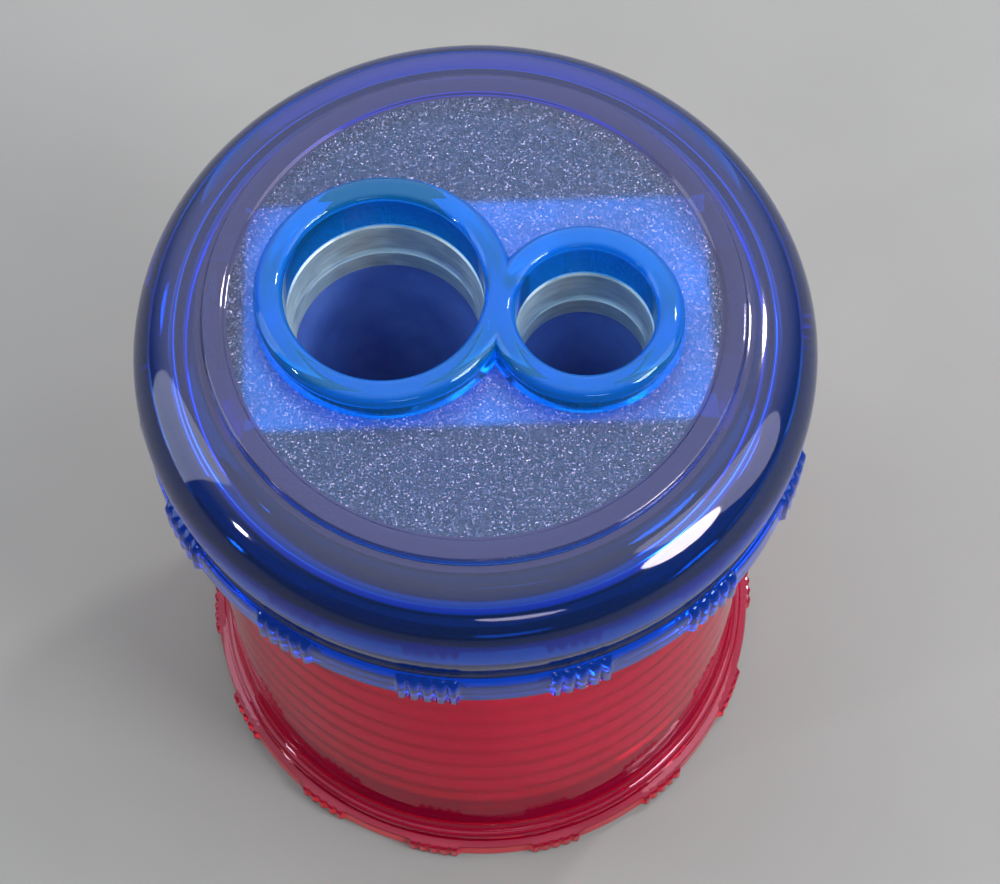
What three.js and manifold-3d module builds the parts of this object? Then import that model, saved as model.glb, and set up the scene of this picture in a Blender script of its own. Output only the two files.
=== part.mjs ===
// Two-hole canister pencil sharpener: a red tub, a blue push-on lid and, hanging inside the lid,
// a metal wedge block with one blade for jumbo pencils and one for standard pencils.
// Millimetres, +Z up. The origin is the centre of the underside of the tub.
// The user's side is -Y, and the jumbo hole is on the -X side.

import * as THREE from 'three';
import { mergeVertices } from 'three/addons/utils/BufferGeometryUtils.js';
import Module from 'manifold-3d';

const wasm = await Module();
wasm.setup();

// ---- Driving dimensions ------------------------------------------------------------------

const SEGMENTS = 56; // around every large round form
const HOLE_SEGMENTS = 36;
const SCREW_SEGMENTS = 24;
const GAP = 0.3; // between pieces that touch on the real object
const OVERLAP = 0.5; // how far forms that are joined run into each other
const OVERCUT = 1; // how far a cutting form stands out of what it cuts
const DEG = Math.PI / 180;

// Tub
const TUB_WALL_FOOT_R = 17.85; // outside of the wall just above the foot
const TUB_WALL_R = 17.7; // outside of the wall under the lid
const TUB_INNER_R = 16.3;
const TUB_TOP = 41.7;
const TUB_FLOOR_TOP = 2.0;
const FOOT_RING_INNER_R = 16.8;
const FOOT_RECESS = 0.6; // the underside is hollowed inside the foot ring
const FOOT_R = 19.08; // of the foot ring between its ridges
const FOOT_RIDGE_R = 19.43;
const FOOT_TOP = 1.6;
const STEP_R = 18.6; // the smaller tier on top of the foot ring
const STEP_TOP = 2.6;
const FILLET_TOP = 4.6; // where the foot's hollow fillet meets the wall
const BEAD_Z = 37.9; // the ring that grips the inside of the lid
const BEAD_R = 18.0;
const BEAD_CREST = 0.3; // half the height of the bead's crest
const BEAD_FOOT = 0.7; // half the height of the bead where it leaves the wall
const MOUTH_BEVEL = 0.4;
const FLOOR_CORNER = 1.2; // radius between the wall and the floor inside the tub

// Lid
const SKIRT_BOTTOM = 34.85;
const SKIRT_INNER_R = 18.3;
const BAND_R = 19.92; // of the grip band between its ridges
const BAND_RIDGE_R = 20.3;
const BAND_TOP = 37.9;
const WAIST_R = 19.5; // just above the grip band
const SHOULDER_CENTRE_R = 15.9;
const SHOULDER_CENTRE_Z = 40.9;
const SHOULDER_RADIUS = 4.1;
const RIM_STEP_R = 15.6; // the raised ring ends here
const RIM_TOP = 45.65;
const DISC_R = 14.25; // the frosted disc lies a little below the raised ring
const DISC_TOP = 45.45;
const CEILING = 44.0;
const LEDGE_R = 17.2; // the lid rests on the tub's rim with this ledge
const LEDGE_CORNER = 1.4; // radius between the ledge and the ceiling
const COLLAR_TOP = 47.0;
const COLLAR_ROUNDING = 0.85;
const COLLAR_DRAFT = 0.12; // how much wider a collar is at its foot
const SMALL_BEVEL = 0.15;

// Ridges on the grip band and on the foot ring
const RIDGE_GROUPS = 14;
const RIDGES_PER_GROUP = 3;
const RIDGE_PITCH = 3.7; // degrees
const RIDGE_ROOT = 0.3; // how far inside the ridged ring the turned body ends
const VALLEY_SHARE = 0.35; // how high the valleys between two ridges lie, as a share of a ridge
const BAND_PHASE = 260.5; // degrees from +X to the middle of one group
const FOOT_PHASE = 258.3;

// Pencil holes: both cones touch the same sloping plane on the -Y side
const CONE_ANGLE = 12 * DEG; // half the angle of the sharpened point
const GUIDE_BOTTOM = 39.7; // the straight part of each hole ends here
const JUMBO = { x: -5.1, y: 0.8, r: 5.75, collarR: 7.45, tipR: 0.8, bladeWidth: 8.0 };
const STANDARD = { x: 6.3, y: -1.0, r: 4.0, collarR: 5.65, tipR: 0.6, bladeWidth: 6.4 };

// Wedge block
const BLOCK = { x0: -13.3, x1: 13.7, y0: -6.8, y1: 7.8, z0: 19.7, z1: CEILING - GAP };
const SEAT_DEPTH = 0.35; // how far the blades' seat cuts into the cones
const SHAVING_SLOT = { width: 0.75, depth: 0.42, margin: 1 }; // shares of the hole's radius, and mm
const NOTCH = { z0: 35.9, z1: 38.3, depth: 1.1 };

// Blades and screws
const BLADE_THICKNESS = 1.0;
const BLADE_LENGTH = 19.6;
const BLADE_TOP = 39.5;
const BLADE_GAP = 0.12; // between the blade and its seat
const BEVEL_WIDTH = 1.7;
const EDGE_THICKNESS = 0.12;
const SCREW_Z = 25.0;
const SHANK_R = 1.0;
const SHANK_LENGTH = 5.0;
const HEAD_R = 2.1;
const HEAD_HEIGHT = 1.3;
const HEAD_ROUNDING = 0.7;
const POINT_BEVEL = 0.4;
const SLOT_WIDTH = 0.6;
const SLOT_DEPTH = 0.7;

// Clips that hold the block under the lid
const CLIP = { thickness: 1.2, y0: -3.0, y1: 4.0, z0: 35.0, hookNose: 0.5, hookRoot: 0.2 };

// ---- Materials ---------------------------------------------------------------------------

const finishes = {
  redPlastic: { color: 0xc01526, roughness: 0.12, metalness: 0 },
  bluePlastic: { color: 0x1020b0, roughness: 0.12, metalness: 0 },
  blockMetal: { color: 0xa9adb0, roughness: 0.42, metalness: 1 },
  bladeSteel: { color: 0xb9bcc0, roughness: 0.25, metalness: 1 },
  screwMetal: { color: 0xc9b06a, roughness: 0.3, metalness: 1 },
};

// ---- Solids ------------------------------------------------------------------------------

// Turns a closed geometry into a solid, dropping the flat triangles that a lathe leaves at its axis.
function toSolid(geometry) {
  geometry.deleteAttribute('normal');
  geometry.deleteAttribute('uv');
  const merged = mergeVertices(geometry, 1e-4);
  const index = merged.index.array;
  const triangles = [];
  for (let i = 0; i < index.length; i += 3) {
    const [a, b, c] = [index[i], index[i + 1], index[i + 2]];
    if (a !== b && b !== c && c !== a) triangles.push(a, b, c);
  }
  return new wasm.Manifold(new wasm.Mesh({
    numProp: 3,
    vertProperties: new Float32Array(merged.attributes.position.array),
    triVerts: new Uint32Array(triangles),
  }));
}

const join = (solid, geometries) => geometries.reduce((sum, item) => sum.add(toSolid(item)), solid);
const cut = (solid, geometries) => geometries.reduce((rest, item) => rest.subtract(toSolid(item)), solid);

function toMesh(name, solid, finish) {
  const { vertProperties, triVerts } = solid.getMesh();
  const geometry = new THREE.BufferGeometry();
  geometry.setAttribute('position', new THREE.BufferAttribute(new Float32Array(vertProperties), 3));
  geometry.setIndex(new THREE.BufferAttribute(new Uint32Array(triVerts), 1));
  geometry.computeVertexNormals();
  const mesh = new THREE.Mesh(geometry, new THREE.MeshStandardMaterial(finishes[finish]));
  mesh.name = name;
  return mesh;
}

// Points on an elliptical arc in the (radius, height) plane; angles are in degrees.
function arc(centreR, centreZ, halfWidth, halfHeight, from, to, steps) {
  return Array.from({ length: steps + 1 }, (_, i) => {
    const angle = (from + ((to - from) * i) / steps) * DEG;
    return [centreR + halfWidth * Math.cos(angle), centreZ + halfHeight * Math.sin(angle)];
  });
}

// A round form about +Z from [radius, height] pairs that run around its section.
function turned(profile, segments = SEGMENTS) {
  const points = [...profile, profile[0]].map(([r, z]) => new THREE.Vector2(r, z));
  return new THREE.LatheGeometry(points, segments).rotateX(Math.PI / 2);
}

// A cone's stump that stands along +Z, from radius r0 at z0 to radius r1 at z1.
function cylinder(x, y, z0, z1, r0, r1 = r0, segments = HOLE_SEGMENTS) {
  const geometry = new THREE.CylinderGeometry(r1, r0, z1 - z0, segments);
  return geometry.rotateX(Math.PI / 2).translate(x, y, (z0 + z1) / 2);
}

function box(x0, x1, y0, y1, z0, z1) {
  const geometry = new THREE.BoxGeometry(x1 - x0, y1 - y0, z1 - z0);
  return geometry.translate((x0 + x1) / 2, (y0 + y1) / 2, (z0 + z1) / 2);
}

// A prism of the given [a, b] outline, extruded along its own +Z.
function prism(outline, depth) {
  const shape = new THREE.Shape(outline.map(([a, b]) => new THREE.Vector2(a, b)));
  return new THREE.ExtrudeGeometry(shape, { depth, bevelEnabled: false });
}

// A ring whose outside carries groups of half-round ridges and whose inside is plain.
function ridgedRing(innerR, baseR, ridgeR, z0, z1, phase) {
  const arcSteps = 4;
  const plainSteps = 3;
  const groupPitch = 360 / RIDGE_GROUPS;
  const groupWidth = RIDGES_PER_GROUP * RIDGE_PITCH;
  const outline = [];
  const put = (angle, r) => {
    outline.push(new THREE.Vector2(r * Math.cos(angle * DEG), r * Math.sin(angle * DEG)));
  };
  for (let group = 0; group < RIDGE_GROUPS; group += 1) {
    const start = phase + group * groupPitch - groupWidth / 2;
    put(start, baseR);
    for (let step = 1; step < RIDGES_PER_GROUP * arcSteps; step += 1) {
      const share = VALLEY_SHARE + (1 - VALLEY_SHARE) * Math.abs(Math.sin((Math.PI * step) / arcSteps));
      put(start + (RIDGE_PITCH * step) / arcSteps, baseR + (ridgeR - baseR) * share);
    }
    for (let step = 0; step < plainSteps; step += 1) {
      put(start + groupWidth + ((groupPitch - groupWidth) * step) / plainSteps, baseR);
    }
  }
  const shape = new THREE.Shape(outline);
  shape.holes.push(new THREE.Path().absarc(0, 0, innerR, 0, 2 * Math.PI, true));
  const options = { depth: z1 - z0, bevelEnabled: false, curveSegments: SEGMENTS / 2 };
  return new THREE.ExtrudeGeometry(shape, options).translate(0, 0, z0);
}

// ---- The blades' sloping seat ------------------------------------------------------------

// The seat plane's Y at height z. It slopes inwards on the way down, parallel to the cones' sides.
const seatY = (z) => JUMBO.y - JUMBO.r + SEAT_DEPTH + (GUIDE_BOTTOM - z) * Math.tan(CONE_ANGLE);
const SEAT_TILT = Math.PI / 2 + CONE_ANGLE;
const BLADE_MIDDLE = BLADE_TOP - (BLADE_LENGTH / 2) * Math.cos(CONE_ANGLE);

// A group on the seat plane at height z: its X is +X, its Y runs up the slope, its Z points outwards.
function seatGroup(z, mesh) {
  const group = new THREE.Group();
  group.position.set(0, seatY(z), z);
  group.rotation.x = SEAT_TILT;
  group.add(mesh);
  return group;
}

// Moves a geometry from a seat group's coordinates into the model's.
const fromSeat = (geometry, z) => geometry.rotateX(SEAT_TILT).translate(0, seatY(z), z);

// ---- Tub ---------------------------------------------------------------------------------

function canister() {
  const floorR = TUB_INNER_R - FLOOR_CORNER;
  const coreR = FOOT_R - RIDGE_ROOT;
  const filletR = STEP_R - SMALL_BEVEL;
  const body = turned([
    [0, FOOT_RECESS],
    [FOOT_RING_INNER_R - FOOT_RECESS, FOOT_RECESS],
    [FOOT_RING_INNER_R, 0],
    [coreR, 0],
    [coreR, FOOT_TOP],
    [STEP_R, FOOT_TOP + SMALL_BEVEL],
    [STEP_R, STEP_TOP - SMALL_BEVEL],
    ...arc(filletR, FILLET_TOP, filletR - TUB_WALL_FOOT_R, FILLET_TOP - STEP_TOP, 270, 180, 5),
    [TUB_WALL_R, SKIRT_BOTTOM],
    [TUB_WALL_R, BEAD_Z - BEAD_FOOT],
    [BEAD_R, BEAD_Z - BEAD_CREST],
    [BEAD_R, BEAD_Z + BEAD_CREST],
    [TUB_WALL_R, BEAD_Z + BEAD_FOOT],
    [TUB_WALL_R, TUB_TOP - MOUTH_BEVEL],
    [TUB_WALL_R - MOUTH_BEVEL, TUB_TOP],
    [TUB_INNER_R + MOUTH_BEVEL / 2, TUB_TOP],
    [TUB_INNER_R, TUB_TOP - MOUTH_BEVEL],
    ...arc(floorR, TUB_FLOOR_TOP + FLOOR_CORNER, FLOOR_CORNER, FLOOR_CORNER, 0, -90, 3),
    [0, TUB_FLOOR_TOP],
  ]);
  const footRing = ridgedRing(coreR - OVERLAP, FOOT_R, FOOT_RIDGE_R, 0, FOOT_TOP, FOOT_PHASE);
  return toMesh('canister', join(toSolid(body), [footRing]), 'redPlastic');
}

// ---- Lid ---------------------------------------------------------------------------------

// A round boss with a rounded top edge, which becomes the collar of one pencil hole.
function boss(hole) {
  const bottom = CEILING + OVERLAP;
  const edgeR = hole.collarR - COLLAR_ROUNDING;
  const edge = arc(edgeR, COLLAR_TOP - COLLAR_ROUNDING, COLLAR_ROUNDING, COLLAR_ROUNDING, 0, 90, 4);
  const profile = [[0, bottom], [hole.collarR + COLLAR_DRAFT, bottom], ...edge, [0, COLLAR_TOP]];
  return turned(profile, HOLE_SEGMENTS).translate(hole.x, hole.y, 0);
}

// The arm and the hook of one clip, which faces the block's end at x = 0 and stands at its +X side.
function clipPieces() {
  const arm = box(0, CLIP.thickness, CLIP.y0, CLIP.y1, CLIP.z0, CEILING + OVERLAP);
  const [low, high] = [NOTCH.z0 + GAP, NOTCH.z1 - GAP];
  const outline = [
    [CLIP.hookRoot, low],
    [CLIP.hookRoot, high],
    [-NOTCH.depth, high],
    [-NOTCH.depth, high - CLIP.hookNose],
  ];
  const hook = prism(outline, CLIP.y1 - CLIP.y0).rotateX(Math.PI / 2).translate(0, CLIP.y1, 0);
  return [arm, hook];
}

function lidShell() {
  const coreR = BAND_R - RIDGE_ROOT;
  const shell = turned([
    [0, CEILING],
    ...arc(LEDGE_R - LEDGE_CORNER, CEILING - LEDGE_CORNER, LEDGE_CORNER, LEDGE_CORNER, 90, 0, 3),
    [LEDGE_R, TUB_TOP + GAP],
    [SKIRT_INNER_R, TUB_TOP + GAP],
    [SKIRT_INNER_R, SKIRT_BOTTOM],
    [coreR, SKIRT_BOTTOM],
    [coreR, BAND_TOP],
    [WAIST_R, BAND_TOP + SMALL_BEVEL],
    ...arc(SHOULDER_CENTRE_R, SHOULDER_CENTRE_Z, SHOULDER_RADIUS, SHOULDER_RADIUS, -10, 90, 9),
    [RIM_STEP_R, RIM_TOP - SMALL_BEVEL],
    [RIM_STEP_R - SMALL_BEVEL, RIM_TOP],
    [DISC_R + SMALL_BEVEL, RIM_TOP],
    [DISC_R, DISC_TOP],
    [0, DISC_TOP],
  ]);
  const band = ridgedRing(coreR - OVERLAP, BAND_R, BAND_RIDGE_R, SKIRT_BOTTOM, BAND_TOP, BAND_PHASE);
  const rightClip = clipPieces().map((piece) => piece.translate(BLOCK.x1 + GAP, 0, 0));
  const leftClip = clipPieces().map((piece) => (
    piece.rotateZ(Math.PI).translate(BLOCK.x0 - GAP, CLIP.y0 + CLIP.y1, 0)
  ));
  const holes = [JUMBO, STANDARD];
  const whole = join(toSolid(shell), [band, ...holes.map(boss), ...rightClip, ...leftClip]);
  const drills = holes.map(({ x, y, r }) => cylinder(x, y, CEILING - OVERCUT, COLLAR_TOP + OVERCUT, r));
  return toMesh('lid_shell', cut(whole, drills), 'bluePlastic');
}

// ---- Wedge block -------------------------------------------------------------------------

// What is cut away for one pencil hole: a straight guide, a cone and, if the cone ends, a tip hole.
function pencilBore({ x, y, r, tipR }) {
  const slope = Math.tan(CONE_ANGLE);
  const bottom = BLOCK.z0 - OVERCUT;
  const coneEnd = Math.max(GUIDE_BOTTOM - (r - tipR) / slope, bottom);
  const endR = r - (GUIDE_BOTTOM - coneEnd) * slope;
  return [
    cylinder(x, y, GUIDE_BOTTOM, BLOCK.z1 + OVERCUT, r),
    cylinder(x, y, coneEnd, GUIDE_BOTTOM, endR, r),
    cylinder(x, y, bottom, coneEnd + OVERLAP, Math.min(tipR, endR)),
  ];
}

// The slot beside a cutting edge, through which the shavings leave.
function shavingSlot({ x, r }) {
  const half = BLADE_LENGTH / 2 - SHAVING_SLOT.margin;
  const slot = box(x, x + r * SHAVING_SLOT.width, -half, half, -r * SHAVING_SLOT.depth, OVERCUT);
  return fromSeat(slot, BLADE_MIDDLE);
}

function screwHole(x) {
  const r = SHANK_R + GAP;
  return fromSeat(cylinder(x, 0, -SHANK_LENGTH - GAP, OVERCUT, r, r, SCREW_SEGMENTS), SCREW_Z);
}

function sharpenerBlock() {
  const seatTop = BLADE_TOP + GAP;
  const outline = [
    [BLOCK.y0, BLOCK.z1],
    [BLOCK.y0, seatTop],
    [seatY(seatTop), seatTop],
    [seatY(BLOCK.z0), BLOCK.z0],
    [BLOCK.y1, BLOCK.z0],
    [BLOCK.y1, BLOCK.z1],
  ];
  const body = prism(outline, BLOCK.x1 - BLOCK.x0);
  body.rotateY(Math.PI / 2).rotateX(Math.PI / 2).translate(BLOCK.x0, 0, 0);
  const [front, back] = [BLOCK.y0 - OVERCUT, BLOCK.y1 + OVERCUT];
  const block = cut(toSolid(body), [
    ...pencilBore(JUMBO),
    ...pencilBore(STANDARD),
    shavingSlot(JUMBO),
    shavingSlot(STANDARD),
    screwHole(JUMBO.x - JUMBO.bladeWidth / 2),
    screwHole(STANDARD.x - STANDARD.bladeWidth / 2),
    box(BLOCK.x0 - OVERCUT, BLOCK.x0 + NOTCH.depth, front, back, NOTCH.z0, NOTCH.z1),
    box(BLOCK.x1 - NOTCH.depth, BLOCK.x1 + OVERCUT, front, back, NOTCH.z0, NOTCH.z1),
  ]);
  return toMesh('sharpener_block', block, 'blockMetal');
}

// ---- Blades and screws -------------------------------------------------------------------

// A flat blade with its cutting edge at x = 0 on its underside and a hole for its screw.
function blade(name, { x, bladeWidth }) {
  const outline = [
    [-bladeWidth, 0],
    [0, 0],
    [0, EDGE_THICKNESS],
    [-BEVEL_WIDTH, BLADE_THICKNESS],
    [-bladeWidth, BLADE_THICKNESS],
  ];
  const plate = prism(outline, BLADE_LENGTH).rotateX(Math.PI / 2).translate(0, BLADE_LENGTH / 2, 0);
  const alongSlope = (SCREW_Z - BLADE_MIDDLE) / Math.cos(CONE_ANGLE);
  const r = SHANK_R + GAP;
  const top = BLADE_THICKNESS + OVERCUT;
  const hole = cylinder(-bladeWidth / 2, alongSlope, -OVERCUT, top, r, r, SCREW_SEGMENTS);
  const mesh = toMesh(name, cut(toSolid(plate), [hole]), 'bladeSteel');
  mesh.position.set(x, 0, BLADE_GAP);
  return seatGroup(BLADE_MIDDLE, mesh);
}

// A slotted pan-head screw that points into the block, its head lying on the blade.
function screw(name, { x, bladeWidth }) {
  const body = turned([
    [0, -SHANK_LENGTH],
    [SHANK_R - POINT_BEVEL, -SHANK_LENGTH],
    [SHANK_R, -SHANK_LENGTH + POINT_BEVEL],
    [SHANK_R, 0],
    [HEAD_R, 0],
    ...arc(HEAD_R - HEAD_ROUNDING, HEAD_HEIGHT - HEAD_ROUNDING, HEAD_ROUNDING, HEAD_ROUNDING, 0, 90, 3),
    [0, HEAD_HEIGHT],
  ], SCREW_SEGMENTS);
  const [half, reach] = [SLOT_WIDTH / 2, HEAD_R + OVERCUT];
  const slot = box(-reach, reach, -half, half, HEAD_HEIGHT - SLOT_DEPTH, HEAD_HEIGHT + OVERCUT);
  const mesh = toMesh(name, cut(toSolid(body), [slot]), 'screwMetal');
  mesh.position.set(x - bladeWidth / 2, 0, BLADE_THICKNESS + 2 * BLADE_GAP);
  return seatGroup(SCREW_Z, mesh);
}

// ---- Assembly ----------------------------------------------------------------------------

const sharpener = new THREE.Group();
sharpener.add(canister(), lidShell(), sharpenerBlock());
sharpener.add(blade('blade_jumbo', JUMBO), blade('blade_standard', STANDARD));
sharpener.add(screw('screw_jumbo', JUMBO), screw('screw_standard', STANDARD));

export default sharpener;
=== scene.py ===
import math

import bmesh
import bpy
from mathutils import Matrix, Vector


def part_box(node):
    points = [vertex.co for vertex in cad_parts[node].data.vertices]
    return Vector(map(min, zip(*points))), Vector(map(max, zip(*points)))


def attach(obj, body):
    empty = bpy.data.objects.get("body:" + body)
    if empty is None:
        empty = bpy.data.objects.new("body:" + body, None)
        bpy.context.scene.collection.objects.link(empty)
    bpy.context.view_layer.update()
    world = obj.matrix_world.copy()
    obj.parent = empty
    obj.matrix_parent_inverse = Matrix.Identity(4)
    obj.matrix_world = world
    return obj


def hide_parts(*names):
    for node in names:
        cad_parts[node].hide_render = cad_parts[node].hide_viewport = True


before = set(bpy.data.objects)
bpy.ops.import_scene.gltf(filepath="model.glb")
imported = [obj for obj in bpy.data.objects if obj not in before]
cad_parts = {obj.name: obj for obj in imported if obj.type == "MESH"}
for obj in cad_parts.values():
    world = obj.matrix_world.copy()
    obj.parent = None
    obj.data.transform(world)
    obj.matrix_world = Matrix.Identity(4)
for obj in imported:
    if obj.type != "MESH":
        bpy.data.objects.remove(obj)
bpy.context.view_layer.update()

# ---- Driving dimensions, in millimetres ----------------------------------------------------

MM = 0.001
DEG = math.radians(1)

# Tub
TUB_FOOT_WALL_R = 17.85
TUB_WALL_R = 17.7
TUB_INNER_R = 16.3
TUB_TOP = 41.7
FLOOR_TOP = 2.0
FOOT_R = 19.08
FOOT_RIDGE = 0.3
FOOT_TOP = 1.6
STEP_R = 18.6
STEP_TOP = 2.6
FILLET_TOP = 4.6
FILLET_HIGH = 0.8
BEAD_Z = 37.9
BEAD_RISE = 0.3
BEAD_HALF = 1.0
RIM_OUTER = 0.35
RIM_INNER = 0.3
FLOOR_CORNER = 1.2
RIPPLE = 0.022
RIPPLE_TURN = 2.3

# Lid
SKIRT_BOTTOM = 34.85
SKIRT_INNER_R = 18.3
BAND_R = 19.95
BAND_RIDGE = 0.3
BAND_TOP = 37.9
SHOULDER_R = 15.9
SHOULDER_Z = 40.9
SHOULDER_RADIUS = 4.1
RING_R = 15.6
RING_TOP = 45.65
DISC_R = 14.25
DISC_TOP = 45.45
CEILING = 44.0
LEDGE_R = 17.2
LEDGE_Z = 42.0
COLLAR_TOP = 47.0
CEILING_CORNER = 1.4
RING_EDGE = 0.22

# Ridges on the lid's band and the tub's foot
RIDGE_GROUPS = 14
RIDGES = 5
RIDGE_PITCH = 2.22
RIDGE_VALLEY = 0.3
RIDGE_END = 0.35
RIDGE_FULLNESS = 0.7
BAND_PHASE = 260.5
FOOT_PHASE = 258.3

# Bores, blades, screws and clips
CONE_ANGLE = 12 * DEG
CONE_SLOPE = math.tan(CONE_ANGLE)
SEAT_TILT = 90 * DEG + CONE_ANGLE
GUIDE_BOTTOM = 39.7
# Each hole's place, the radii of its bore, collar and tip, its blade's width and its slot's width
# and depth
JUMBO = {"x": -5.1, "y": 0.8, "r": 5.75, "collar": 7.45, "tip": 0.8}
JUMBO.update({"blade": 8.0, "slot": (4.3, 2.4)})
STANDARD = {"x": 6.3, "y": -1.0, "r": 4.0, "collar": 5.65, "tip": 0.6}
STANDARD.update({"blade": 6.4, "slot": (3.0, 1.7)})
HOLES = (JUMBO, STANDARD)
CONE_INSET = 0.22
COLLAR_LIP = 0.5
COLLAR_EDGE_WIDE = 0.75
COLLAR_EDGE_HIGH = 0.8
SEAT_DEPTH = 0.35
BLOCK_GAP = 0.3
BORE_BOTTOM = 18.7
BLOCK_CORNER_R = 15.7
SCREW_Z = 25.0
SCREW_HOLE_R = 1.3
SCREW_HOLE_DEPTH = 5.3
THREADS = 9
THREAD_PITCH = 0.5
BLADE_LENGTH = 19.6
BLADE_TOP = 39.5
BLADE_MIDDLE = BLADE_TOP - BLADE_LENGTH / 2 * math.cos(CONE_ANGLE)
BLADE_LIFT = 0.12
SCREW_LIFT = 1.24
CLIP_FACE = {1: 14.0, -1: 13.6}
CLIP_START = -3.0
CLIP_END = 4.0
NOTCH_DEPTH = 1.1
NOTCH_BOTTOM = 35.9
NOTCH_TOP = 38.3
ROUND_STEPS = 144


# ---- Node materials ------------------------------------------------------------------------


class Shader:
    """A small helper that builds one node material."""

    def __init__(self, name):
        self.material = bpy.data.materials.new(name)
        self.material.use_nodes = True
        self.nodes = self.material.node_tree.nodes
        self.links = self.material.node_tree.links
        self.main = self.nodes["Principled BSDF"]
        self.output = self.nodes["Material Output"]
        self.place = self.nodes.new("ShaderNodeTexCoord").outputs["Object"]

    def set(self, **values):
        """Sets constants on the main shader's own sockets."""
        for name, value in values.items():
            self.main.inputs[name.replace("_", " ")].default_value = value

    def join(self, source, target):
        """Links one socket to another."""
        self.links.new(source, target)

    def stretched(self, scale):
        """The object's own coordinates, in metres, scaled by a different factor along each axis."""
        node = self.nodes.new("ShaderNodeMapping")
        node.inputs["Scale"].default_value = scale
        self.join(self.place, node.inputs["Vector"])
        return node.outputs["Vector"]

    def noise(self, scale, detail=3.0, roughness=0.55, stretch=None):
        """Cloudy noise in the object's own coordinates; a higher scale is finer."""
        node = self.nodes.new("ShaderNodeTexNoise")
        node.inputs["Scale"].default_value = scale
        node.inputs["Detail"].default_value = detail
        node.inputs["Roughness"].default_value = roughness
        self.join(self.stretched(stretch) if stretch else self.place, node.inputs["Vector"])
        return node.outputs["Fac"]

    def ramp(self, source, low, high, start=0.0, end=1.0):
        """Carries source from low at start to high at end."""
        node = self.nodes.new("ShaderNodeMapRange")
        node.inputs["From Min"].default_value = start
        node.inputs["From Max"].default_value = end
        node.inputs["To Min"].default_value = low
        node.inputs["To Max"].default_value = high
        self.join(source, node.inputs["Value"])
        return node.outputs["Result"]

    def tint(self, source, stops):
        """A colour that follows source through the stops, each a (position, colour) pair."""
        node = self.nodes.new("ShaderNodeValToRGB")
        ramp = node.color_ramp
        while len(ramp.elements) < len(stops):
            ramp.elements.new(0.5)
        for element, (place, colour) in zip(ramp.elements, stops):
            element.position = place
            element.color = (*colour, 1.0)
        self.join(source, node.inputs["Fac"])
        return node.outputs["Color"]

    def bump(self, height, strength, distance, under=None):
        """Fine relief on the main shader, laid over an earlier bump where one is given."""
        node = self.nodes.new("ShaderNodeBump")
        node.inputs["Strength"].default_value = strength
        node.inputs["Distance"].default_value = distance
        self.join(height, node.inputs["Height"])
        if under is not None:
            self.join(under, node.inputs["Normal"])
        self.join(node.outputs["Normal"], self.main.inputs["Normal"])
        return node.outputs["Normal"]

    def absorb(self, colour, density):
        """What the depth of a clear wall takes out of the light."""
        node = self.nodes.new("ShaderNodeVolumeAbsorption")
        node.inputs["Color"].default_value = (*colour, 1.0)
        node.inputs["Density"].default_value = density
        self.join(node.outputs["Volume"], self.output.inputs["Volume"])


# Each plastic's own colour, its gloss colour, how much of it is clear rather than milky, its span
# of roughness, the colour and density of what its depth lets through, and its index of refraction
BLUE = {"tint": (0.01, 0.24, 0.86, 1.0), "gloss": (0.9, 0.82, 1.0, 1.0), "clear": 0.975}
BLUE.update({"rough": (0.02, 0.09), "passed": (0.0, 0.45, 0.93), "density": 400.0, "ior": 1.52})
BLUE_COLLAR = {**BLUE, "tint": (0.01, 0.36, 0.95, 1.0), "gloss": (0.6, 0.85, 1.0, 1.0)}
BLUE_COLLAR.update({"clear": 0.86, "ior": 1.42})
BLUE_CEILING = {**BLUE, "tint": (0.01, 0.8, 0.95, 1.0)}
BLUE_RING = {**BLUE, "tint": (0.1, 0.13, 0.42, 1.0), "clear": 0.86}
BLUE_BAND = {**BLUE, "tint": (0.006, 0.13, 0.86, 1.0), "gloss": (0.5, 0.6, 1.0, 1.0)}
BLUE_BAND.update({"clear": 0.86, "ior": 1.46})
RED = {"tint": (0.9, 0.003, 0.1, 1.0), "gloss": (1.0, 0.5, 0.8, 1.0), "clear": 0.84}
RED.update({"rough": (0.02, 0.09), "passed": (0.92, 0.0, 0.3), "density": 260.0, "ior": 1.12})
RED_INNER = {**RED, "clear": 0.93, "ior": 1.3}
RED_FOOT = {**RED, "gloss": (1.0, 0.65, 0.8, 1.0), "clear": 0.88, "ior": 1.48}
FROSTED_TINT = (0.03, 0.62, 0.96)
# Noise stretched like this gives fine rings round a bore
FEED_MARKS = (150.0, 150.0, 5200.0)


def clear_plastic(name, dye):
    """Glossy clear-tinted moulding with faint flow waves, fine scratches and uneven polish."""
    s = Shader(name)
    s.set(Base_Color=dye["tint"], Specular_Tint=dye["gloss"])
    s.set(Transmission_Weight=dye["clear"], IOR=dye["ior"])
    s.join(s.ramp(s.noise(160, 4.0), *dye["rough"], 0.3, 0.75), s.main.inputs["Roughness"])
    waves = s.bump(s.noise(95, 1.5), 0.12, 0.0004)
    s.bump(s.noise(700, 2.0, stretch=(1.0, 0.12, 0.3)), 0.02, 0.0001, waves)
    s.absorb(dye["passed"], dye["density"])
    return s.material


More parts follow.
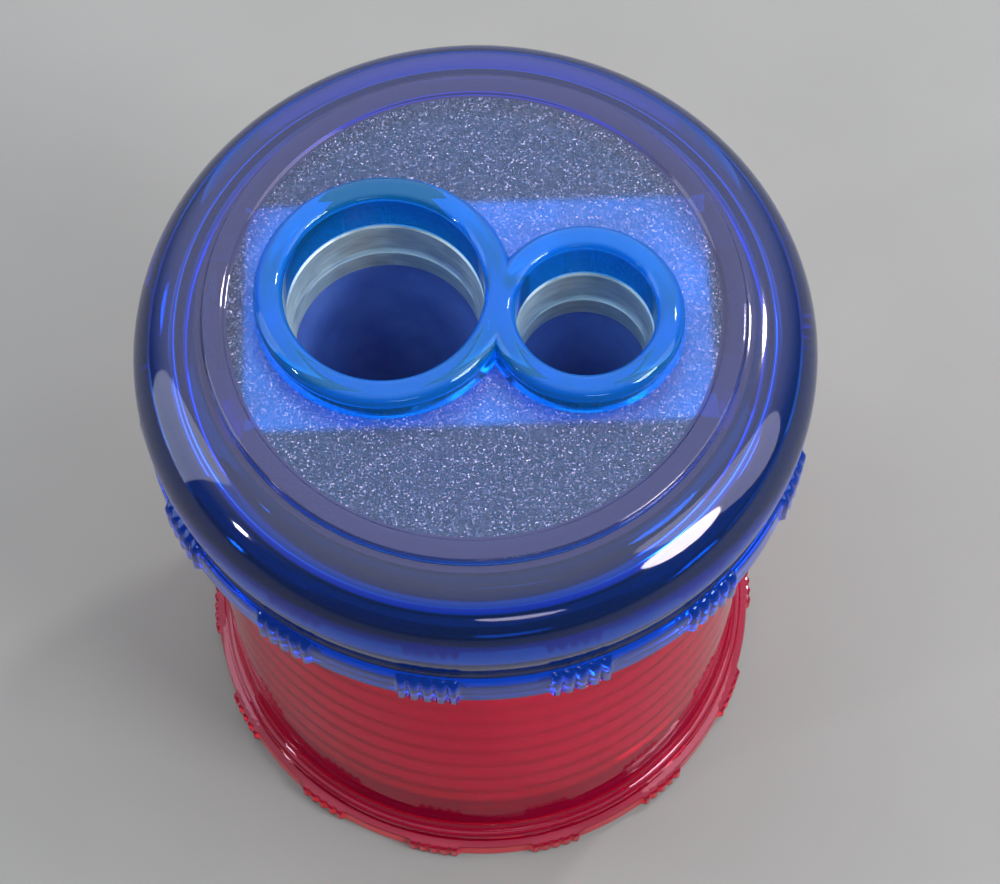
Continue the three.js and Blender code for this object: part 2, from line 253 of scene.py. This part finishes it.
def frosted_plastic():
    """The blue moulding where its surface has a fine grain, with painted glints: pale specks on the
    crests.
    """
    s = Shader("blue_frosted_plastic")
    s.set(IOR=1.49, Specular_Tint=(0.95, 0.64, 1.0, 1.0))
    grain = s.noise(8200, 2.0, 0.6)
    # Painted glints: pale specks in the base colour, with less transmission, where the grain is
    # highest
    painted_glints = [(0.57, FROSTED_TINT), (0.64, (0.4, 0.42, 0.95)), (0.74, (0.92, 0.87, 1.0))]
    s.join(s.tint(grain, painted_glints), s.main.inputs["Base Color"])
    s.join(s.ramp(grain, 0.97, 0.4, 0.57, 0.74), s.main.inputs["Transmission Weight"])
    s.join(s.ramp(s.noise(2200, 2.0), 0.14, 0.36, 0.35, 0.7), s.main.inputs["Roughness"])
    s.bump(grain, 1.0, 0.00006)
    s.absorb(BLUE["passed"], BLUE["density"])
    return s.material


def block_metal():
    """Machined light alloy with feed marks round each bore and small pits."""
    s = Shader("block_alloy")
    s.set(Metallic=1.0)
    colour = s.tint(s.noise(260, 4.0), [(0.3, (0.6, 0.7, 0.71)), (0.7, (0.74, 0.86, 0.87))])
    s.join(colour, s.main.inputs["Base Color"])
    s.join(s.ramp(s.noise(420, 4.0), 0.3, 0.55, 0.3, 0.7), s.main.inputs["Roughness"])
    rings = s.bump(s.noise(1.0, 2.0, stretch=FEED_MARKS), 0.35, 0.00006)
    s.bump(s.noise(900, 3.0), 0.15, 0.00008, rings)
    return s.material


def guide_metal():
    """The straight part of each bore, a pale, less metallic copy of the alloy with painted light,
    with feed marks round it.
    """
    s = Shader("guide_alloy_painted_light")
    s.set(Metallic=0.75)
    # Painted light: the pale colour stands for the light from above falling on the bore's mouth
    stops = [(0.3, (0.46, 0.64, 0.7)), (0.7, (0.72, 0.9, 0.92))]
    painted_light_tone = s.noise(1.0, 3.0, stretch=(500.0, 500.0, 2500.0))
    s.join(s.tint(painted_light_tone, stops), s.main.inputs["Base Color"])
    s.join(s.ramp(s.noise(700, 4.0), 0.3, 0.5, 0.3, 0.7), s.main.inputs["Roughness"])
    s.bump(s.noise(1.0, 2.0, stretch=FEED_MARKS), 0.35, 0.00006)
    return s.material


def bore_metal():
    """The inside of the cones, with painted shade: a dark blue that stands for the lid's blue light
    in them.
    """
    s = Shader("bore_painted_blue_shade")
    s.set(Metallic=0.15)
    # Painted shade: the dark blue stands for the shaded cone, lit only through the blue lid
    stops = [(0.32, (0.05, 0.1, 0.38)), (0.66, (0.08, 0.155, 0.48))]
    s.join(s.tint(s.noise(300, 5.0), stops), s.main.inputs["Base Color"])
    s.join(s.ramp(s.noise(500, 4.0), 0.32, 0.6, 0.3, 0.7), s.main.inputs["Roughness"])
    s.bump(s.noise(1.0, 2.0, stretch=(150.0, 150.0, 6000.0)), 0.3, 0.00005)
    return s.material


def blade_steel():
    """Ground steel, brushed along the blade."""
    s = Shader("ground_steel")
    s.set(Metallic=1.0)
    brushed = s.noise(1.0, 3.0, stretch=(5000.0, 240.0, 240.0))
    stops = [(0.3, (0.5, 0.51, 0.53)), (0.7, (0.7, 0.71, 0.73))]
    s.join(s.tint(brushed, stops), s.main.inputs["Base Color"])
    s.join(s.ramp(brushed, 0.18, 0.38, 0.3, 0.7), s.main.inputs["Roughness"])
    s.bump(brushed, 0.2, 0.00003)
    return s.material


def screw_metal():
    """Yellow-plated steel with fine wear."""
    s = Shader("plated_screw")
    s.set(Metallic=1.0)
    stops = [(0.3, (0.55, 0.42, 0.2)), (0.7, (0.78, 0.66, 0.4))]
    s.join(s.tint(s.noise(900, 4.0), stops), s.main.inputs["Base Color"])
    s.join(s.ramp(s.noise(1200, 3.0), 0.2, 0.45, 0.3, 0.7), s.main.inputs["Roughness"])
    s.bump(s.noise(2400, 2.0), 0.12, 0.00003)
    return s.material


# ---- Mesh building ---------------------------------------------------------------------------


def arc(centre_r, centre_z, wide, high, start, end, steps):
    """Points (radius, height, ridge share) on an elliptical arc; angles are in degrees."""
    turns = [(start + (end - start) * i / steps) * DEG for i in range(steps + 1)]
    return [(centre_r + wide * math.cos(t), centre_z + high * math.sin(t), 0.0) for t in turns]


def plain_angles(count):
    """(angle, rise) pairs round a plain ring."""
    return [(360.0 * i / count, 0.0) for i in range(count)]


def ridge_angles(phase, per_ridge, between):
    """(angle, rise) pairs round a ridged ring: groups of half-round ridges with plain gaps."""
    pitch = 360.0 / RIDGE_GROUPS
    width = RIDGES * RIDGE_PITCH
    steps = RIDGES * per_ridge
    pairs = []
    for group in range(RIDGE_GROUPS):
        start = phase + group * pitch - width / 2
        for i in range(steps):
            wave = abs(math.sin(math.pi * i / per_ridge)) ** RIDGE_FULLNESS
            end_fade = min(1.0, min(i, steps - i) / (RIDGE_END * per_ridge))
            rise = (RIDGE_VALLEY + (1 - RIDGE_VALLEY) * wave) * end_fade
            pairs.append((start + RIDGE_PITCH * i / per_ridge, rise))
        for i in range(between):
            pairs.append((start + width + (pitch - width) * i / between, 0.0))
    return pairs


def lathe(name, profile, angles, rise=0.0):
    """A mesh turned about Z, capped by a flat face at each end of its profile.

    The profile's points are (radius, height, ridge share), in millimetres; rise is how far a ridge
    stands out where its share is 1.
    """
    bm = bmesh.new()
    rings = []
    for r, z, share in profile:
        ring = []
        for angle, height in angles:
            radius = (r + share * height * rise) * MM
            turn = angle * DEG
            ring.append(bm.verts.new((radius * math.cos(turn), radius * math.sin(turn), z * MM)))
        rings.append(ring)
    count = len(angles)
    for low, high in zip(rings, rings[1:]):
        for i in range(count):
            j = (i + 1) % count
            bm.faces.new((low[i], low[j], high[j], high[i]))
    bm.faces.new(list(reversed(rings[0])))
    bm.faces.new(rings[-1])
    return finished(name, bm)


def prism(name, outline, start, end, axis="X"):
    """A prism along X from (y, z) pairs, or along Y from (x, z) pairs."""
    bm = bmesh.new()
    ends = []
    for along in (start, end):
        points = [(along, across, z) for across, z in outline]
        if axis == "Y":
            points = [(across, along, z) for along, across, z in points]
        ends.append([bm.verts.new(Vector(point) * MM) for point in points])
    bm.faces.new(list(reversed(ends[0])))
    bm.faces.new(ends[1])
    count = len(outline)
    for i in range(count):
        j = (i + 1) % count
        bm.faces.new((ends[0][i], ends[0][j], ends[1][j], ends[1][i]))
    return finished(name, bm)


def block_of(name, low, high):
    """A plain block between two corners."""
    section = [(low[1], low[2]), (high[1], low[2]), (high[1], high[2]), (low[1], high[2])]
    return prism(name, section, low[0], high[0])


def finished(name, bm):
    """Turns a built mesh into a piece of the scene, with all its faces looking outwards."""
    bmesh.ops.recalc_face_normals(bm, faces=bm.faces)
    mesh = bpy.data.meshes.new(name)
    bm.to_mesh(mesh)
    bm.free()
    piece = bpy.data.objects.new(name, mesh)
    bpy.context.collection.objects.link(piece)
    return piece


def moved(piece, matrix):
    """Moves a piece's mesh and leaves its origin where it is."""
    piece.data.transform(matrix)
    return piece


def over_hole(piece, hole):
    """Moves a piece turned about the row's own axis onto a hole's axis."""
    return moved(piece, Matrix.Translation((hole["x"] * MM, hole["y"] * MM, 0)))


def apply(piece, kind, **settings):
    """Adds one modifier and makes its result the piece's mesh."""
    modifier = piece.modifiers.new(kind, kind)
    for key, value in settings.items():
        setattr(modifier, key, value)
    bpy.context.view_layer.update()
    graph = bpy.context.evaluated_depsgraph_get()
    mesh = bpy.data.meshes.new_from_object(piece.evaluated_get(graph))
    piece.modifiers.clear()
    old = piece.data
    piece.data = mesh
    mesh.name = piece.name
    bpy.data.meshes.remove(old)
    return piece


def combine(piece, tools, operation):
    """Joins the tools to the piece, cuts them from it or keeps what they share; removes them."""
    for tool in tools:
        apply(piece, "BOOLEAN", object=tool, operation=operation, solver="EXACT")
        bpy.data.objects.remove(tool)
    return piece


def smoothed(piece, angle=32):
    """Smooth shading, with edges sharper than the angle, in degrees, kept crisp."""
    piece.data.shade_smooth()
    piece.data.set_sharp_from_angle(angle=angle * DEG)
    return apply(piece, "WEIGHTED_NORMAL", keep_sharp=True, weight=50)


def dressed(piece, materials, body, node):
    """Gives a piece its materials and its body, and hides the CAD node it replaces."""
    piece.data.materials.clear()
    for material in materials:
        piece.data.materials.append(material)
    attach(piece, body)
    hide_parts(node)
    return piece


# ---- Tub -------------------------------------------------------------------------------------


def make_tub():
    """The tub with its foot ring, small step, fillet, bead and faintly rippled inner wall."""
    profile = [(16.1, 0.6, 0), (16.6, 0.55, 0), (16.85, 0.12, 0), (17.0, 0.0, 0), (18.8, 0.0, 0.1)]
    profile += [(18.98, 0.05, 0.6), (FOOT_R, 0.2, 1.0), (FOOT_R, FOOT_TOP - 0.2, 1.0)]
    profile += [(19.02, FOOT_TOP - 0.04, 0.6), (18.85, FOOT_TOP + 0.01, 0.0)]
    profile += [(STEP_R + 0.02, FOOT_TOP + 0.1, 0), (STEP_R, STEP_TOP - 0.3, 0)]
    profile += [(STEP_R - 0.06, STEP_TOP - 0.08, 0), (STEP_R - 0.15, STEP_TOP, 0)]
    corner = STEP_R - 0.2
    width = corner - TUB_FOOT_WALL_R
    profile += arc(corner, STEP_TOP + FILLET_HIGH, width, FILLET_HIGH, 265, 180, 12)
    bead_bottom = BEAD_Z - BEAD_HALF
    wall_steps, bead_steps, ripple_steps = 20, 8, 70
    for i in range(1, wall_steps + 1):
        z = FILLET_TOP + (bead_bottom - FILLET_TOP) * i / wall_steps
        share = i / wall_steps
        profile.append((TUB_FOOT_WALL_R + (TUB_WALL_R - TUB_FOOT_WALL_R) * share, z, 0))
    for i in range(1, bead_steps + 1):
        lift = BEAD_RISE * math.sin(math.pi * i / bead_steps) ** 2
        profile.append((TUB_WALL_R + lift, bead_bottom + 2 * BEAD_HALF * i / bead_steps, 0))
    profile += arc(TUB_WALL_R - RIM_OUTER, TUB_TOP - RIM_OUTER, RIM_OUTER, RIM_OUTER, 0, 90, 6)
    inner_top = TUB_TOP - RIM_INNER
    profile += arc(TUB_INNER_R + RIM_INNER, inner_top, RIM_INNER, RIM_INNER, 90, 180, 6)
    for i in range(1, ripple_steps):
        z = inner_top - (inner_top - FLOOR_TOP - FLOOR_CORNER) * i / ripple_steps
        profile.append((TUB_INNER_R + RIPPLE * math.sin(z * RIPPLE_TURN), z, 0))
    corner_z = FLOOR_TOP + FLOOR_CORNER
    profile += arc(TUB_INNER_R - FLOOR_CORNER, corner_z, FLOOR_CORNER, FLOOR_CORNER, 0, -90, 8)
    tub = lathe("tub", profile, ridge_angles(FOOT_PHASE, 6, 10), FOOT_RIDGE)
    # The order is the one that tub_zone() counts in.
    materials = [clear_plastic("red_clear_plastic", RED)]
    materials.append(clear_plastic("red_inner_plastic", RED_INNER))
    materials.append(clear_plastic("red_foot_plastic", RED_FOOT))
    dressed(tub, materials, "tub", "canister")
    for face in tub.data.polygons:
        face.material_index = tub_zone(face.center / MM)
    return smoothed(tub)


def tub_zone(middle):
    """The place in the tub's list of materials: 1 inside, 2 on the foot, 0 elsewhere."""
    if middle.z > FLOOR_TOP - 0.1 and math.hypot(middle.x, middle.y) < TUB_INNER_R + 0.1:
        return 1
    return 2 if middle.z < FILLET_TOP else 0


# ---- Lid -------------------------------------------------------------------------------------


def collar(hole):
    """The raised tube round a hole, before the hole itself is cut."""
    r = hole["collar"]
    profile = [(r + 0.15, CEILING + 0.6, 0), (r + 0.12, DISC_TOP, 0)]
    centre = (r - COLLAR_EDGE_WIDE, COLLAR_TOP - COLLAR_EDGE_HIGH)
    profile += arc(*centre, COLLAR_EDGE_WIDE, COLLAR_EDGE_HIGH, 0, 90, 12)
    return over_hole(lathe("collar", profile, plain_angles(ROUND_STEPS)), hole)


def hole_drill(hole):
    """What is cut from the lid for a hole, with a rounded lip at the collar's top."""
    r = hole["r"]
    profile = [(r, CEILING - 1.5, 0)]
    centre = (r + COLLAR_LIP, COLLAR_TOP - COLLAR_LIP)
    profile += arc(*centre, COLLAR_LIP, COLLAR_LIP, 180, 90, 6)
    profile.append((r + COLLAR_LIP, COLLAR_TOP + 1, 0))
    return over_hole(lathe("drill", profile, plain_angles(ROUND_STEPS)), hole)


def clip_parts(side):
    """The arm and hook that hold one end of the block; side is 1 at +X and -1 at -X."""
    face = CLIP_FACE[side]
    hook = [(face + 0.2, 36.2), (face + 0.2, 38.0), (face - 1.1, 38.0), (face - 1.1, 37.5)]
    parts = [block_of("arm", (face, CLIP_START, 35.0), (face + 1.2, CLIP_END, CEILING + 0.5))]
    parts.append(prism("hook", hook, CLIP_START, CLIP_END, "Y"))
    if side < 0:
        middle = CLIP_START + CLIP_END
        flip = Matrix.Translation((0, middle * MM, 0)) @ Matrix.Rotation(math.pi, 4, "Z")
        parts = [moved(part, flip) for part in parts]
    return parts


def make_lid():
    """The lid with its disc, ring, shoulder, grip band, inner ledge, collars, holes and clips."""
    profile = [(DISC_R - 0.15, DISC_TOP, 0), (DISC_R, DISC_TOP + 0.03, 0)]
    profile += [(DISC_R + 0.1, DISC_TOP + 0.12, 0), (DISC_R + 0.22, RING_TOP - 0.03, 0)]
    profile.append((DISC_R + 0.4, RING_TOP, 0))
    profile += arc(RING_R - RING_EDGE, RING_TOP - RING_EDGE, RING_EDGE, RING_EDGE, 90, 0, 5)
    profile += [(RING_R, 45.15, 0), (RING_R + 0.06, 45.03, 0), (RING_R + 0.2, 44.995, 0)]
    profile += arc(SHOULDER_R, SHOULDER_Z, SHOULDER_RADIUS, SHOULDER_RADIUS, 88, -10, 36)
    profile += [(19.84, 39.6, 0), (19.72, 39.05, 0), (19.6, 38.6, 0), (19.53, 38.35, 0)]
    profile += [(19.56, 38.12, 0), (19.64, 37.97, 0.0), (19.76, 37.86, 0.2), (19.88, 37.68, 0.6)]
    profile += [(BAND_R, 37.45, 0.9), (BAND_R, 37.1, 1.0)]
    profile += [(BAND_R, SKIRT_BOTTOM + 0.3, 1.0), (19.86, SKIRT_BOTTOM + 0.1, 0.9)]
    profile += [(19.6, SKIRT_BOTTOM, 0.5), (18.5, SKIRT_BOTTOM, 0), (18.34, SKIRT_BOTTOM + 0.06, 0)]
    profile += [(SKIRT_INNER_R, SKIRT_BOTTOM + 0.2, 0), (SKIRT_INNER_R, LEDGE_Z - 0.1, 0)]
    profile += [(SKIRT_INNER_R - 0.1, LEDGE_Z, 0), (LEDGE_R + 0.1, LEDGE_Z, 0)]
    profile.append((LEDGE_R, LEDGE_Z + 0.1, 0))
    centre = (LEDGE_R - CEILING_CORNER, CEILING - CEILING_CORNER)
    profile += arc(*centre, CEILING_CORNER, CEILING_CORNER, 0, 90, 8)
    lid = lathe("lid", profile, ridge_angles(BAND_PHASE, 8, 8), BAND_RIDGE)
    additions = [collar(hole) for hole in HOLES] + clip_parts(1) + clip_parts(-1)
    combine(lid, additions, "UNION")
    combine(lid, [hole_drill(hole) for hole in HOLES], "DIFFERENCE")
    # The order is the one that lid_zone() counts in.
    materials = [clear_plastic("blue_clear_plastic", BLUE), frosted_plastic()]
    materials.append(clear_plastic("blue_collar_plastic", BLUE_COLLAR))
    materials.append(clear_plastic("blue_band_plastic", BLUE_BAND))
    materials.append(clear_plastic("blue_ring_plastic", BLUE_RING))
    materials.append(clear_plastic("blue_ceiling_plastic", BLUE_CEILING))
    dressed(lid, materials, "lid", "lid_shell")
    for face in lid.data.polygons:
        face.material_index = lid_zone(face.center / MM, face.normal)
    return smoothed(lid, 40)


def lid_zone(middle, normal):
    """The place in the lid's list of materials for a face with this middle, in mm, and normal.

    1 is the frosted disc, 2 the collars, 3 the grip band, 4 the ring round the disc, 5 the
    ceiling over the block, and 0 the rest.
    """
    reach = math.hypot(middle.x, middle.y)
    if reach < DISC_R and abs(middle.z - DISC_TOP) < 0.02 and normal.z > 0.99:
        return 1
    if reach < DISC_R - 0.2 and middle.z > CEILING + 0.1:
        return 2
    if reach > SKIRT_INNER_R + 0.1 and middle.z < BAND_TOP + 0.1:
        return 3
    if reach < RING_R + 0.5 and middle.z > RING_TOP - 0.75:
        return 4
    if reach < LEDGE_R and abs(middle.z - CEILING) < 0.02:
        return 5
    return 0


# ---- Wedge block -----------------------------------------------------------------------------


def seat_y(z):
    """Where the sloping seat plane of the blades lies at this height."""
    return JUMBO["y"] - JUMBO["r"] + SEAT_DEPTH + (GUIDE_BOTTOM - z) * CONE_SLOPE


def from_seat(piece, z, x=0.0, lift=0.0):
    """Moves a piece from the seat's own axes, Z outwards and Y up the slope, into the row frame."""
    place = Matrix.Translation((0, seat_y(z) * MM, z * MM)) @ Matrix.Rotation(SEAT_TILT, 4, "X")
    return moved(piece, place @ Matrix.Translation((x * MM, 0, lift * MM)))


def bore_tool(hole):
    """Guide with a chamfered mouth and a small step, cone and tip hole."""
    r = hole["r"]
    top = CEILING - BLOCK_GAP
    cone_end = max(GUIDE_BOTTOM - (r - hole["tip"]) / CONE_SLOPE, BORE_BOTTOM)
    end_r = max(hole["tip"], r - (GUIDE_BOTTOM - cone_end) * CONE_SLOPE)
    cone_top = GUIDE_BOTTOM - 0.3
    slope = CONE_SLOPE * (r - CONE_INSET - end_r) / (r - end_r)
    profile = [(end_r, BORE_BOTTOM - 1.0, 0), (end_r, cone_end, 0)]
    steps = 24
    for i in range(1, steps + 1):
        z = cone_end + (cone_top - cone_end) * i / steps
        profile.append((r - CONE_INSET - (cone_top - z) * slope, z, 0))
    profile += [(r - CONE_INSET, 40.9, 0), (r - 0.1, 41.1, 0), (r - 0.02, 41.4, 0)]
    profile += [(r - 0.02, top - 0.15, 0), (r + 0.1, top + 0.02, 0), (r + 0.1, top + 1.0, 0)]
    return over_hole(lathe("bore", profile, plain_angles(ROUND_STEPS)), hole)


def make_block():
    """The wedge block with its bores, shaving slots, screw holes and notches for the clips."""
    low, high = (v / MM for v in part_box("sharpener_block"))
    seat_top = BLADE_TOP + 0.3
    outline = [(low.y, high.z), (low.y, seat_top), (seat_y(seat_top), seat_top)]
    outline += [(seat_y(low.z), low.z), (high.y, low.z), (high.y, high.z)]
    block = prism("block", outline, low.x, high.x)
    round_bar = [(BLOCK_CORNER_R, low.z - 1, 0), (BLOCK_CORNER_R, high.z + 1, 0)]
    turned = lathe("turned", round_bar, plain_angles(96))
    combine(block, [turned], "INTERSECT")
    apply(block, "BEVEL", width=0.3 * MM, segments=3, limit_method="ANGLE", angle_limit=30 * DEG)
    tools = [bore_tool(hole) for hole in HOLES]
    half = BLADE_LENGTH / 2 - 1
    for hole in HOLES:
        width, depth = hole["slot"]
        slot = block_of("slot", (0, -half, -depth), (width, half, 1))
        tools.append(from_seat(slot, BLADE_MIDDLE, hole["x"]))
        drill = [(SCREW_HOLE_R, -SCREW_HOLE_DEPTH, 0), (SCREW_HOLE_R, 1.0, 0)]
        screw_hole = lathe("screw_hole", drill, plain_angles(48))
        tools.append(from_seat(screw_hole, SCREW_Z, hole["x"] - hole["blade"] / 2))
    for start, end in ((low.x - 1, low.x + NOTCH_DEPTH), (high.x - NOTCH_DEPTH, high.x + 1)):
        corners = (start, low.y - 1, NOTCH_BOTTOM), (end, high.y + 1, NOTCH_TOP)
        tools.append(block_of("notch", *corners))
    combine(block, tools, "DIFFERENCE")
    # The order is the one that block_zone() counts in.
    materials = [block_metal(), bore_metal(), guide_metal()]
    dressed(block, materials, "lid", "sharpener_block")
    for face in block.data.polygons:
        face.material_index = block_zone(face.center / MM, face.normal)
    return smoothed(block, 25)


def block_zone(middle, normal):
    """The place in the block's list of materials: 1 on the cones, 2 on the guides, 0 elsewhere."""
    for hole in HOLES:
        inward = Vector((hole["x"] - middle.x, hole["y"] - middle.y, 0))
        if inward.length < hole["r"] + 0.15 and normal.dot(inward) > 0.9 * inward.length:
            return 1 if middle.z < GUIDE_BOTTOM - 0.2 else 2
    return 0


# ---- Blades and screws -----------------------------------------------------------------------


def make_blade(name, hole, node, steel):
    """A flat blade with a ground edge over the middle of its bore."""
    outline = [(-hole["blade"], 0), (0, 0), (0, 0.12), (-1.7, 1.0), (-hole["blade"], 1.0)]
    plate = prism(name, outline, -BLADE_LENGTH / 2, BLADE_LENGTH / 2, "Y")
    apply(plate, "BEVEL", width=0.06 * MM, segments=2, limit_method="ANGLE", angle_limit=35 * DEG)
    along = (SCREW_Z - BLADE_MIDDLE) / math.cos(CONE_ANGLE)
    drill_profile = [(1.42, -1, 0), (1.3, 0.1, 0), (1.3, 0.9, 0), (1.5, 1.1, 0), (1.5, 2, 0)]
    drill = lathe("drill", drill_profile, plain_angles(64))
    moved(drill, Matrix.Translation((-hole["blade"] / 2 * MM, along * MM, 0)))
    combine(plate, [drill], "DIFFERENCE")
    from_seat(plate, BLADE_MIDDLE, hole["x"], BLADE_LIFT)
    dressed(plate, [steel], "lid", node)
    return smoothed(plate)


def make_screw(name, hole, body, node, plated):
    """A cheese-head screw with a turned groove for each thread and a slot in its rounded head."""
    profile = [(0.35, -5.0, 0), (0.75, -4.8, 0)]
    for i in range(THREADS):
        z = -4.7 + THREAD_PITCH * i
        profile += [(0.82, z, 0), (1.0, z + 0.2, 0), (1.0, z + 0.28, 0), (0.82, z + 0.46, 0)]
    profile += [(0.85, 0.0, 0), (2.0, 0.0, 0), (2.1, 0.1, 0)]
    profile += arc(1.4, 0.6, 0.7, 0.7, 0, 80, 8)
    screw = lathe(name, profile, plain_angles(64))
    slot = block_of("slot", (-3, -0.3, 0.6), (3, 0.3, 3))
    combine(screw, [slot], "DIFFERENCE")
    apply(screw, "BEVEL", width=0.04 * MM, segments=2, limit_method="ANGLE", angle_limit=50 * DEG)
    from_seat(screw, SCREW_Z, hole["x"] - hole["blade"] / 2, SCREW_LIFT)
    dressed(screw, [plated], body, node)
    return smoothed(screw)


# ---- Stage, light and camera -----------------------------------------------------------------


def make_floor():
    """A plain matt floor just under the foot."""
    bm = bmesh.new()
    bmesh.ops.create_grid(bm, x_segments=8, y_segments=8, size=1.2)
    floor = finished("floor", bm)
    floor.location.z = -0.00002
    s = Shader("pale_floor")
    stops = [(0.3, (0.175, 0.173, 0.169)), (0.7, (0.19, 0.188, 0.184))]
    s.join(s.tint(s.noise(40, 3.0), stops), s.main.inputs["Base Color"])
    s.set(Roughness=0.8)
    floor.data.materials.append(s.material)


def softbox(name, azimuth, elevation, distance, wide, high, power, colour=(1, 1, 1)):
    """An elliptical area light that faces the lid. Azimuth is measured from +X towards +Y."""
    lamp = bpy.data.lights.new(name, "AREA")
    lamp.shape = "ELLIPSE"
    lamp.size = wide
    lamp.size_y = high
    lamp.energy = power
    lamp.color = colour
    light = bpy.data.objects.new(name, lamp)
    bpy.context.collection.objects.link(light)
    target = Vector((0, 0, 0.04))
    towards = Vector((
        math.cos(azimuth * DEG) * math.cos(elevation * DEG),
        math.sin(azimuth * DEG) * math.cos(elevation * DEG),
        math.sin(elevation * DEG),
    ))
    light.location = target + towards * distance
    light.rotation_mode = "QUATERNION"
    light.rotation_quaternion = (-towards).to_track_quat("-Z", "Z")


def make_lights():
    """A pale sky, bright overhead and dim at the horizon, with six soft lights."""
    world = bpy.data.worlds.new("studio")
    world.use_nodes = True
    nodes, links = world.node_tree.nodes, world.node_tree.links
    nodes["Background"].inputs["Color"].default_value = (0.93, 0.96, 1.0, 1)
    nearness = nodes.new("ShaderNodeVectorMath")
    nearness.operation = "DOT_PRODUCT"
    nearness.inputs[1].default_value = (0.0, 0.5, 0.866)
    links.new(nodes.new("ShaderNodeTexCoord").outputs["Generated"], nearness.inputs[0])
    brightness = nodes.new("ShaderNodeMapRange")
    brightness.interpolation_type = "SMOOTHSTEP"
    brightness.inputs["From Min"].default_value = 0.15
    brightness.inputs["From Max"].default_value = 0.88
    brightness.inputs["To Min"].default_value = 0.15
    brightness.inputs["To Max"].default_value = 2.0
    links.new(nearness.outputs["Value"], brightness.inputs["Value"])
    links.new(brightness.outputs["Result"], nodes["Background"].inputs["Strength"])
    bpy.context.scene.world = world
    softbox("window_right", -30, 37, 0.6, 0.24, 0.2, 3.0)
    softbox("window_glow", -8, 38, 0.6, 0.7, 0.28, 1.5)
    softbox("lamp_left", -158, 26, 0.6, 0.045, 0.045, 0.5)
    softbox("lamp_front", -80, 32, 0.6, 0.22, 0.05, 0.2)
    softbox("window_left", 174, 17, 0.7, 1.2, 0.3, 2.6, (0.85, 0.97, 1.0))
    softbox("lamp_back", 45, 54, 0.7, 0.05, 0.05, 1.6)


def make_camera():
    """The fitted viewpoint: 65.8 degrees above the horizon, 169 mm from a point on the axis."""
    elevation = 65.79 * DEG
    distance = 168.8
    target_z = 22.78
    roll = 1.66 * DEG
    data = bpy.data.cameras.new("camera")
    data.sensor_width = 36
    data.lens = 93.6
    data.shift_x = 0.0212
    data.shift_y = 0.0299
    data.clip_start = 0.005
    data.clip_end = 10
    camera = bpy.data.objects.new("camera", data)
    bpy.context.collection.objects.link(camera)
    front = -distance * math.cos(elevation)
    place = Vector((0, front, target_z + distance * math.sin(elevation))) * MM
    turn = Matrix.Rotation(math.pi / 2 - elevation, 4, "X") @ Matrix.Rotation(-roll, 4, "Z")
    camera.matrix_world = Matrix.Translation(place) @ turn
    bpy.context.scene.camera = camera


make_camera()
make_lights()
make_floor()
make_tub()
make_lid()
make_block()
ground_steel = blade_steel()
plated_steel = screw_metal()
make_blade("jumbo_blade", JUMBO, "blade_jumbo", ground_steel)
make_blade("standard_blade", STANDARD, "blade_standard", ground_steel)
make_screw("jumbo_blade_screw", JUMBO, "jumbo_screw", "screw_jumbo", plated_steel)
make_screw("standard_blade_screw", STANDARD, "standard_screw", "screw_standard", plated_steel)

# Light crosses many clear walls on its way through the lid and the tub
scene = bpy.context.scene
scene.cycles.max_bounces = 24
scene.cycles.transmission_bounces = 24
scene.view_settings.view_transform = "Standard"
